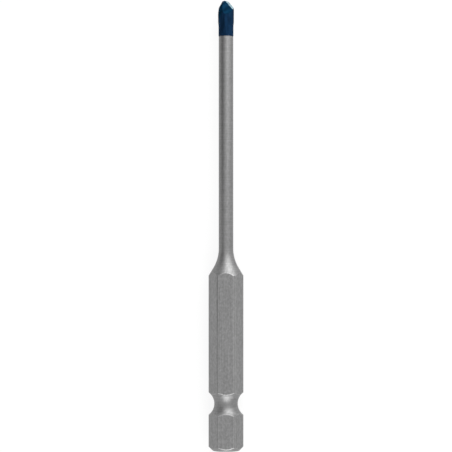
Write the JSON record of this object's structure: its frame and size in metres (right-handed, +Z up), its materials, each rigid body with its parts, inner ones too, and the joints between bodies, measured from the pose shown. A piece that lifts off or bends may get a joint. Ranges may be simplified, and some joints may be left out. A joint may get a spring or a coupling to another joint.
{
  "type": "glass and tile drill bit",
  "caption": "Slim drill bit for glass and tile: hex drive end with a detent groove, flared neck, round steel shaft and a blue coated carbide head with an off-centre ground point.",
  "frame": {"origin": "on the bit's axis, at the flat end of the shank", "axes": "+Y along the axis towards the point, +Z up from the hex flat that the bit lies on, +X to the right when the point is away from the viewer"},
  "size_m": [0.007, 0.09, 0.0062],
  "materials": {
    "satin_steel": "fine satin, drawn flats and turned rounds",
    "coated_carbide": "ground carbide under a thin dark blue hard coating, semi-gloss"
  },
  "bodies": {
    "root": {"shank": "satin_steel", "carbide_head": "coated_carbide"}
  },
  "joints": []
}
